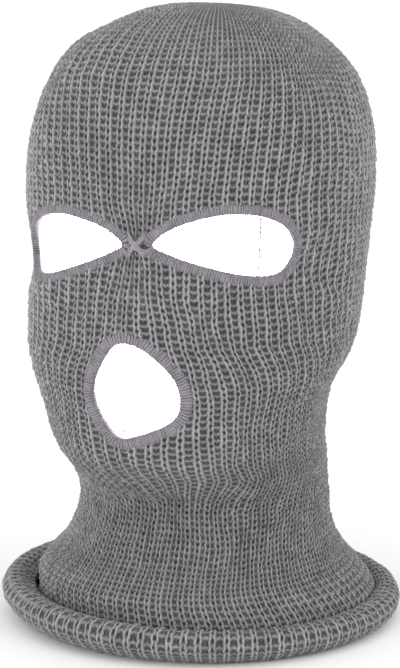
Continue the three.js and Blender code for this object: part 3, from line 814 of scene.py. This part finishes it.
def thread_edging(name, outline, width, seed):
    random = np.random.default_rng(seed)
    loop, away = spaced_loop(outline, STITCH_PITCH / STEPS_PER_STITCH)
    count = len(loop)
    stitch_total = count // STEPS_PER_STITCH
    turn = np.linspace(0, 2 * math.pi, ROUND_STEPS, endpoint=False)
    side = np.sign(np.cos(turn)) * np.abs(np.cos(turn)) ** 0.55
    lift = np.sign(np.sin(turn)) * np.abs(np.sin(turn)) ** 0.55
    phase = np.arange(count)[:, None] / STEPS_PER_STITCH + THREAD_LEAN * side + 0.25 / STEPS_PER_STITCH
    stitch, within = np.floor(phase).astype(int) % stitch_total, phase % 1.0
    depth = random.uniform(0.15, 1.0, stitch_total) ** 2
    bulge = THREAD_BULGE * depth[stitch] * np.sin(math.pi * within) ** 0.6
    ragged = RAGGED * random.uniform(-0.6, 1.0, stitch_total)[stitch] * np.sin(math.pi * within)
    half_width = (width + EDGING_LIP) / 2
    outer_end = np.clip(side, 0, 1) ** 3
    w = half_width - EDGING_LIP + (half_width + bulge * 0.5) * side + ragged * outer_end
    taper = 1 - 0.45 * outer_end
    d = -EDGE_THICKNESS / 2 + (EDGING_THICKNESS / 2 + bulge) * lift * taper
    x = loop[:, :1] + away[:, :1] * w
    z = loop[:, 1:] + away[:, 1:] * w
    places = on_face(x, z, d)
    faces = grid_faces(count, ROUND_STEPS)
    piece = make_piece(name + "_thread", places.reshape(-1, 3), faces[:, ::-1].tolist())
    row, column = faces[:, ::-1] // ROUND_STEPS, faces[:, ::-1] % ROUND_STEPS
    row = np.where((row == 0) & (row.max(axis=1, keepdims=True) == count - 1), count, row)
    in_last_column = column.max(axis=1, keepdims=True) == ROUND_STEPS - 1
    column = np.where((column == 0) & in_last_column, ROUND_STEPS, column)
    add_map(piece, "OFBake", np.stack([row / count, column / ROUND_STEPS], axis=-1).reshape(-1, 2))
    add_map(piece, "Threads",
            np.stack([row / STEPS_PER_STITCH, column / ROUND_STEPS], axis=-1).reshape(-1, 2))
    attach(piece, "hood")
    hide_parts(name)
    piece.data.materials.append(thread_material)
    return piece


# Side-by-side threads: fine streaks along each stitch and a dark line of painted shade where two stitches
# part
threads, threads_in, threads_out = new_group("laid threads", [
    ("Place", "NodeSocketVector", None), ("Fineness", "NodeSocketFloat", 1.0)],
    [("Height", "NodeSocketFloat"), ("Gap shade", "NodeSocketFloat")])
split = threads.nodes.new("ShaderNodeSeparateXYZ")
threads.links.new(threads_in["Place"], split.inputs[0])
along_edge = split.outputs["X"]
sag = noise(threads, scaled_place(threads, threads_in["Place"], (0.35, 7.0, 1.0)), 1.0, detail=1.0)
shifted = calc(threads, "ADD", along_edge,
               calc(threads, "MULTIPLY", calc(threads, "SUBTRACT", sag, 0.5), 0.9))
within = calc(threads, "ABSOLUTE", calc(threads, "SUBTRACT", calc(threads, "FRACT", shifted), 0.5))
parting = calc(threads, "MULTIPLY_ADD", within, 7.0, -2.2, clamp=True)
often = noise(threads, scaled_place(threads, threads_in["Place"], (0.9, 3.0, 1.0)), 1.0, detail=2.0)
seldom = calc(threads, "MULTIPLY_ADD", often, 7.0, -2.8, clamp=True)
threads.links.new(calc(threads, "MULTIPLY", parting, seldom), threads_out["Gap shade"])
streak_scale = threads.nodes.new("ShaderNodeCombineXYZ")
threads.links.new(calc(threads, "MULTIPLY", shifted, calc(threads, "MULTIPLY", threads_in["Fineness"], 9.0)),
                  streak_scale.inputs[0])
threads.links.new(calc(threads, "MULTIPLY", split.outputs["Y"], 5.0), streak_scale.inputs[1])
streaks = noise(threads, streak_scale.outputs[0], 1.0, detail=2.0)
threads.links.new(calc(threads, "MULTIPLY_ADD", streaks, 0.6, calc(threads, "MULTIPLY", within, -0.8)),
                  threads_out["Height"])

THREAD_GAP_SHADE = (0.010, 0.008, 0.010, 1)
THREAD_MIDDLE = (0.080, 0.070, 0.082, 1)
THREAD_LIGHT = (0.30, 0.275, 0.31, 1)


def thread_finish(name, dark, middle, light):
    material, tree, shader = new_material(name, 0.8, 0.15)
    pattern = use_group(tree, threads, Place=read_map(tree, "Threads"))
    place = tree.nodes.new("ShaderNodeTexCoord").outputs["Object"]
    # Fine streaks along the thread, and painted shade: each stitch darker towards the edges where it meets
    # the next
    tone_and_relief_shade = calc(tree, "MULTIPLY_ADD", pattern["Height"], 0.7, 0.42)
    colour = use_group(tree, yarn, Place=place, Dark=middle, Light=light, Lightness=tone_and_relief_shade, Fibre_size=1.3)
    # Painted shade: the near-black laid into the line where two stitches part
    gap = calc(tree, "MULTIPLY", pattern["Gap shade"], 0.8)
    tree.links.new(blend_colours(tree, gap, colour["Colour"], dark), shader.inputs["Base Color"])
    height = calc(tree, "MULTIPLY_ADD", colour["Fibres"], 0.25, pattern["Height"])
    tree.links.new(bump(tree, height, 0.0003), shader.inputs["Normal"])
    return material


thread_material = thread_finish("mauve grey edging thread", THREAD_GAP_SHADE, THREAD_MIDDLE, THREAD_LIGHT)
edgings = [thread_edging(name, outline, width, seed)
           for seed, (name, (outline, width)) in enumerate(openings.items(), start=21)]


# ---- The tack on the bridge of the nose ----
# A few turns of the same thread pulled crosswise over the two eye edgings where they meet, tied off in a
# small dark knot beside the crossing.

TACK_HALF_WIDTH, TACK_HALF_HEIGHT = 0.0046, 0.0046
STRAND_RADIUS = 0.00042
CROSSING_STRANDS = 5
tack_front = (EDGING_THICKNESS - EDGE_THICKNESS) / 2


def strand(points, radius, sides=10, steps=28):
    """A closed, round-ended length of thread through given points."""
    line = smooth_line(points, max(2, steps // (len(points) - 1)))
    ahead = np.gradient(line, axis=0)
    ahead /= np.linalg.norm(ahead, axis=1)[:, None]
    across = np.cross(ahead, (0.3, -1.0, 0.2))
    across /= np.linalg.norm(across, axis=1)[:, None]
    lift = np.cross(across, ahead)
    turn = np.linspace(0, 2 * math.pi, sides, endpoint=False)
    swell = radius * np.sqrt(1 - np.abs(np.linspace(-1, 1, len(line))) ** 12 * 0.98)
    ring = np.cos(turn)[None, :, None] * across[:, None] + np.sin(turn)[None, :, None] * lift[:, None]
    places = (line[:, None] + ring * swell[:, None, None]).reshape(-1, 3)
    body = grid_faces(len(line), sides, closed_rows=False).tolist()
    ends = [list(range(sides))[::-1], list(range((len(line) - 1) * sides, len(line) * sides))]
    return places, body + ends


def joined(lengths):
    """Several closed lengths of thread as the corners and faces of one piece."""
    places, faces, start = [], [], 0
    for more_places, more_faces in lengths:
        places.append(more_places)
        faces += [[corner + start for corner in face] for face in more_faces]
        start += len(more_places)
    return np.concatenate(places), faces


def tack_point(x, z, lift):
    return on_face(np.array([x]), np.array([eye_line + z]), np.array([tack_front + lift]))[0]


random = np.random.default_rng(8)
tack_lengths = []
for slant in (1, -1):
    for k in range(CROSSING_STRANDS):
        spread = (k - (CROSSING_STRANDS - 1) / 2) / CROSSING_STRANDS
        reach = TACK_HALF_WIDTH * (1 - 0.25 * abs(spread)) * random.uniform(0.9, 1.05)
        rise = TACK_HALF_HEIGHT * random.uniform(0.85, 1.0)
        lift = 0.0006 + 0.0003 * (slant > 0) + random.uniform(0, 0.0003)
        middle = spread * 0.0018
        tack_lengths.append(strand([
            tack_point(-reach, -slant * rise + spread * 0.0042, -0.0012),
            tack_point(-reach * 0.55, -slant * rise * 0.52 + spread * 0.0030, lift * 0.8),
            tack_point(middle * 0.3, middle, lift + 0.0004),
            tack_point(reach * 0.55, slant * rise * 0.52 + spread * 0.0030, lift * 0.8),
            tack_point(reach, slant * rise + spread * 0.0042, -0.0012)], STRAND_RADIUS))
for k in range(4):
    z = (k - 1.5) * 0.0011
    tack_lengths.append(strand([
        tack_point(-0.0030, z * 1.3, -0.0009), tack_point(-0.0014, z, 0.0008),
        tack_point(0.0002, z, 0.0012), tack_point(0.0017, z, 0.0008), tack_point(0.0032, z * 1.3, -0.0009)],
        STRAND_RADIUS * 0.95))
tack = make_piece("bridge_tack_thread", *joined(tack_lengths))
knot_lengths = []
for k in range(3):
    tip = 0.0030 + 0.0004 * k
    knot_lengths.append(strand([
        tack_point(tip - 0.0007, -0.0013 + 0.0005 * k, 0.0002), tack_point(tip, -0.0002 + 0.0003 * k, 0.0013),
        tack_point(tip + 0.0008, 0.0006 - 0.0006 * k, 0.0010), tack_point(tip + 0.0010, -0.0010, -0.0002)],
        STRAND_RADIUS * 0.9))
knot = make_piece("bridge_tack_knot", *joined(knot_lengths))

# Twisted thread without a flat map of its own: the ply shows as slanting bands
twist, twist_in, twist_out = new_group("twisted thread", [("Place", "NodeSocketVector", None)],
                                       [("Height", "NodeSocketFloat")])
wave = twist.nodes.new("ShaderNodeTexWave")
wave.bands_direction = "DIAGONAL"
wave.inputs["Scale"].default_value = 420.0
wave.inputs["Distortion"].default_value = 3.0
wave.inputs["Detail"].default_value = 1.0
twist.links.new(twist_in["Place"], wave.inputs["Vector"])
twist.links.new(wave.outputs["Fac"], twist_out["Height"])


def twisted_finish(name, dark, light):
    material, tree, shader = new_material(name, 0.85, 0.15)
    place = tree.nodes.new("ShaderNodeTexCoord").outputs["Object"]
    ply = use_group(tree, twist, Place=place)["Height"]
    # Lighter on the raised turns of the ply and darker in the grooves between them: painted shade
    tone_and_relief_shade = calc(tree, "MULTIPLY_ADD", ply, 0.5, 0.25)
    colour = use_group(tree, yarn, Place=place, Dark=dark, Light=light, Lightness=tone_and_relief_shade)
    tree.links.new(colour["Colour"], shader.inputs["Base Color"])
    height = calc(tree, "MULTIPLY_ADD", colour["Fibres"], 0.4, ply)
    tree.links.new(bump(tree, height, 0.0002), shader.inputs["Normal"])
    return material


tack_finish = twisted_finish("mauve grey tacking thread", (0.11, 0.10, 0.115, 1), (0.40, 0.37, 0.41, 1))
tack.data.materials.append(tack_finish)
knot_finish = twisted_finish("dark knotted thread", (0.010, 0.008, 0.011, 1), (0.06, 0.05, 0.06, 1))
knot.data.materials.append(knot_finish)
for piece in (tack, knot):
    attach(piece, "hood")
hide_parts("bridge_tack")


# ---- Seams on the inside ----
# The back seam and the four crown darts are overlocked: a raised ridge of grey thread whose loops zigzag
# over the joined fabric. A ring of drawn-up stitches closes the middle of the crown.

SEAM_HALF_WIDTH = 0.0021
SEAM_HALF_THICKNESS = 0.0011
SEAM_DEPTH = 0.0060
SEAM_LOOP = 0.0024
seam_material = twisted_finish("grey seam thread", (0.10, 0.10, 0.105, 1), (0.34, 0.34, 0.35, 1))


def seam_ridge(name, angle, heights):
    """A flat oval ridge on the inside of the fabric at one angle, with slanting loops raised on it."""
    wall = form_point(outer_half(heights), angle, heights)
    beside = form_point(outer_half(heights), angle + 0.01, heights)
    ahead = np.gradient(wall, axis=0)
    ahead /= np.linalg.norm(ahead, axis=1)[:, None]
    outward = np.cross(beside - wall, ahead)
    outward /= np.linalg.norm(outward, axis=1)[:, None]
    sideways = np.cross(ahead, outward)
    travelled = np.concatenate([[0], np.cumsum(np.linalg.norm(np.diff(wall, axis=0), axis=1))])
    turn = np.linspace(0, 2 * math.pi, 20, endpoint=False)
    loops = np.abs(np.sin(travelled[:, None] / SEAM_LOOP * math.pi + np.cos(turn) * 1.1))
    size = 0.82 + 0.30 * loops
    end = np.sqrt(np.clip(1 - np.abs(np.linspace(-1, 1, len(heights))) ** 60, 0.02, 1))[:, None]
    places = (wall[:, None] - outward[:, None] * SEAM_DEPTH
              + sideways[:, None] * (SEAM_HALF_WIDTH * np.cos(turn) * size * end)[..., None]
              + outward[:, None] * (SEAM_HALF_THICKNESS * np.sin(turn) * size * end)[..., None])
    sides = len(turn)
    faces = grid_faces(len(heights), sides, closed_rows=False).tolist()
    faces += [list(range(sides))[::-1], list(range((len(heights) - 1) * sides, len(heights) * sides))]
    piece = make_piece(name + "_thread", places.reshape(-1, 3), faces)
    piece.data.materials.append(seam_material)
    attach(piece, "hood")
    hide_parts(name)
    return piece


seam_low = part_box("back_seam")[0]
seam_ridge("back_seam", math.pi, np.linspace(seam_low.z + 0.006, crown_base, 560))
stitch_low, stitch_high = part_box("crown_stitch")
stitch_radius = (stitch_high.x - stitch_low.x) / 2
crown_spread = np.linspace(0.062, stitch_radius + 0.0045, 300) / at_height(HALF, crown_base)
dart_heights = crown_base + crown_depth * (1 - crown_spread ** crown_fullness) ** (1 / crown_fullness)
for name, eighths in (("crown_seam_front_left", 1), ("crown_seam_front_right", -1),
                      ("crown_seam_back_left", 3), ("crown_seam_back_right", -3)):
    seam_ridge(name, eighths * math.pi / 4, dart_heights)

stitch_middle = (stitch_low + stitch_high) / 2
closing_lengths = []
for k in range(12):
    turn = 2 * math.pi * k / 12
    out = np.array([math.cos(turn), math.sin(turn), 0])
    side = np.array([-math.sin(turn), math.cos(turn), 0])
    middle = np.array(stitch_middle)
    closing_lengths.append(strand([
        middle + out * 0.0006 - (0, 0, 0.0004), middle + out * 0.0026 + side * 0.0004 - (0, 0, 0.0010),
        middle + out * 0.0045 - side * 0.0003 - (0, 0, 0.0004),
        middle + out * 0.0058 + (0, 0, 0.0009)], 0.00075))
closing = make_piece("crown_closing_stitches", *joined(closing_lengths))
closing.data.materials.append(seam_material)
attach(closing, "hood")
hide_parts("crown_stitch")


# ---- The care label ----
# A blank piece of off-white woven satin tape, heat-cut at its edges and caught by one short side in the
# back seam. It hangs free and curls a little.

LABEL_COLUMNS, LABEL_ROWS = 48, 34
LABEL_THICKNESS = 0.0007
LABEL_CURL = 0.0011
label_low, label_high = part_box("care_label")
label_root = np.array((0.0, label_high.y - 0.0005, (label_low.z + label_high.z) / 2))
label_height = label_high.z - label_low.z
label_slant = math.atan2(label_high.y - label_low.y - 0.0007, label_high.x - label_low.x)
label_length = (label_high.x - label_low.x) / math.cos(label_slant)
label_way = np.array((math.cos(label_slant), -math.sin(label_slant), 0))
label_face = np.array((math.sin(label_slant), math.cos(label_slant), 0))
along, up = np.meshgrid(np.linspace(0, 1, LABEL_COLUMNS), np.linspace(-0.5, 0.5, LABEL_ROWS), indexing="ij")
curl = LABEL_CURL * (along ** 2 * (0.6 + up) - 0.25 * np.sin(along * math.pi))
sheet_places = (label_root + along[..., None] * label_way * label_length
                + up[..., None] * np.array((0, 0, label_height)) - curl[..., None] * label_face)
front = sheet_places + label_face * LABEL_THICKNESS / 2
back = sheet_places - label_face * LABEL_THICKNESS / 2
cells = LABEL_COLUMNS * LABEL_ROWS
r, c = np.meshgrid(np.arange(LABEL_COLUMNS - 1), np.arange(LABEL_ROWS - 1), indexing="ij")
quad = np.stack([r * LABEL_ROWS + c, (r + 1) * LABEL_ROWS + c, (r + 1) * LABEL_ROWS + c + 1,
                 r * LABEL_ROWS + c + 1], axis=-1).reshape(-1, 4)
rim = np.concatenate([
    np.arange(LABEL_COLUMNS) * LABEL_ROWS, (LABEL_COLUMNS - 1) * LABEL_ROWS + np.arange(1, LABEL_ROWS),
    np.arange(LABEL_COLUMNS - 2, -1, -1) * LABEL_ROWS + LABEL_ROWS - 1, np.arange(LABEL_ROWS - 2, 0, -1)])
rim_next = np.roll(rim, -1)
label_faces = quad[:, ::-1].tolist() + (quad + cells).tolist()
label_faces += np.stack([rim, rim_next, rim_next + cells, rim + cells], axis=-1).tolist()
label_places = np.concatenate([front.reshape(-1, 3), back.reshape(-1, 3)])
label = make_piece("care_label_tape", label_places, label_faces)

label_material, tree, shader = new_material("off-white woven tape", 0.55, 0.1)
place = tree.nodes.new("ShaderNodeTexCoord").outputs["Object"]
weave = scaled_place(tree, place, (9000.0, 9000.0, 5200.0))
split = tree.nodes.new("ShaderNodeSeparateXYZ")
tree.links.new(weave, split.inputs[0])
weft = calc(tree, "SINE", split.outputs["Z"])
warp = calc(tree, "SINE", split.outputs["X"])
tape_height = calc(tree, "MULTIPLY_ADD", calc(tree, "MULTIPLY", weft, warp), 0.25, 0.5)
# The weave's raised crossings are coloured lighter and its dips darker: painted shade
tape_colour = use_group(tree, yarn, Place=place, Dark=(0.50, 0.49, 0.46, 1), Light=(0.82, 0.81, 0.78, 1),
                        Lightness=tape_height, Fibre_size=0.7)
tree.links.new(tape_colour["Colour"], shader.inputs["Base Color"])
tree.links.new(bump(tree, tape_height, 0.0001), shader.inputs["Normal"])
label.data.materials.append(label_material)
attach(label, "label")
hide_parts("care_label")


# ---- Floor, light and camera ----
# A plain pale floor and a pale surround, two broad soft lamps, and two small ones inside the hood that
# light the inner wall seen through the openings.

FLOOR_HALF = 6.0
floor_mesh = bpy.data.meshes.new("floor")
floor_mesh.from_pydata([(-FLOOR_HALF, -FLOOR_HALF, 0), (FLOOR_HALF, -FLOOR_HALF, 0),
                        (FLOOR_HALF, FLOOR_HALF, 0), (-FLOOR_HALF, FLOOR_HALF, 0)], [], [(0, 1, 2, 3)])
floor = bpy.data.objects.new("floor", floor_mesh)
bpy.context.collection.objects.link(floor)
floor_material, tree, shader = new_material("pale floor", 0.9, 0.0)
shader.inputs["Base Color"].default_value = (0.95, 0.95, 0.95, 1)
floor.data.materials.append(floor_material)

world = bpy.data.worlds.new("pale surround")
world.use_nodes = True
world.node_tree.nodes["Background"].inputs["Color"].default_value = (1, 1, 1, 1)
world.node_tree.nodes["Background"].inputs["Strength"].default_value = 1.1
bpy.context.scene.world = world


def soft_lamp(name, place, aim, size, power):
    light = bpy.data.lights.new(name, "AREA")
    light.shape = "SQUARE"
    light.size = size
    light.energy = power
    lamp = bpy.data.objects.new(name, light)
    lamp.location = place
    lamp.rotation_mode = "QUATERNION"
    lamp.rotation_quaternion = (Vector(aim) - Vector(place)).to_track_quat("-Z", "Y")
    bpy.context.collection.objects.link(lamp)
    return lamp


soft_lamp("front lamp", (-0.4, -1.5, 0.35), (0, 0, 0.10), 1.0, 11)
soft_lamp("side lamp", (1.5, -0.6, 0.9), (0, 0, 0.15), 1.0, 6)
INSIDE_LAMP_SIZE = 0.03
inside_lamps = (
    ((0, -0.022, 0.170), (0, 0.1, 0.165), 4.2),
    ((0.012, 0.030, 0.168), (-0.08, 0.005, 0.165), 1.8),
)
for place, aim, power in inside_lamps:
    inside = soft_lamp("lamp inside the hood", place, aim, INSIDE_LAMP_SIZE, power)
    inside.visible_camera = False

CAMERA_AZIMUTH, CAMERA_ELEVATION, CAMERA_DISTANCE = math.radians(17), math.radians(8), 0.900
looked_at = Vector((-0.0016, 0, crown_top.z * 0.463))
camera_data = bpy.data.cameras.new("camera")
camera_data.lens = 100.2
camera_data.sensor_width = 36
camera = bpy.data.objects.new("camera", camera_data)
camera_back = Vector((math.sin(CAMERA_AZIMUTH) * math.cos(CAMERA_ELEVATION),
                      -math.cos(CAMERA_AZIMUTH) * math.cos(CAMERA_ELEVATION), math.sin(CAMERA_ELEVATION)))
camera.location = Vector((0, 0, 0.150)) + camera_back * CAMERA_DISTANCE
camera.rotation_mode = "QUATERNION"
camera.rotation_quaternion = (looked_at - camera.location).to_track_quat("-Z", "Y")
bpy.context.collection.objects.link(camera)
bpy.context.scene.camera = camera
bpy.context.scene.view_settings.view_transform = "Standard"
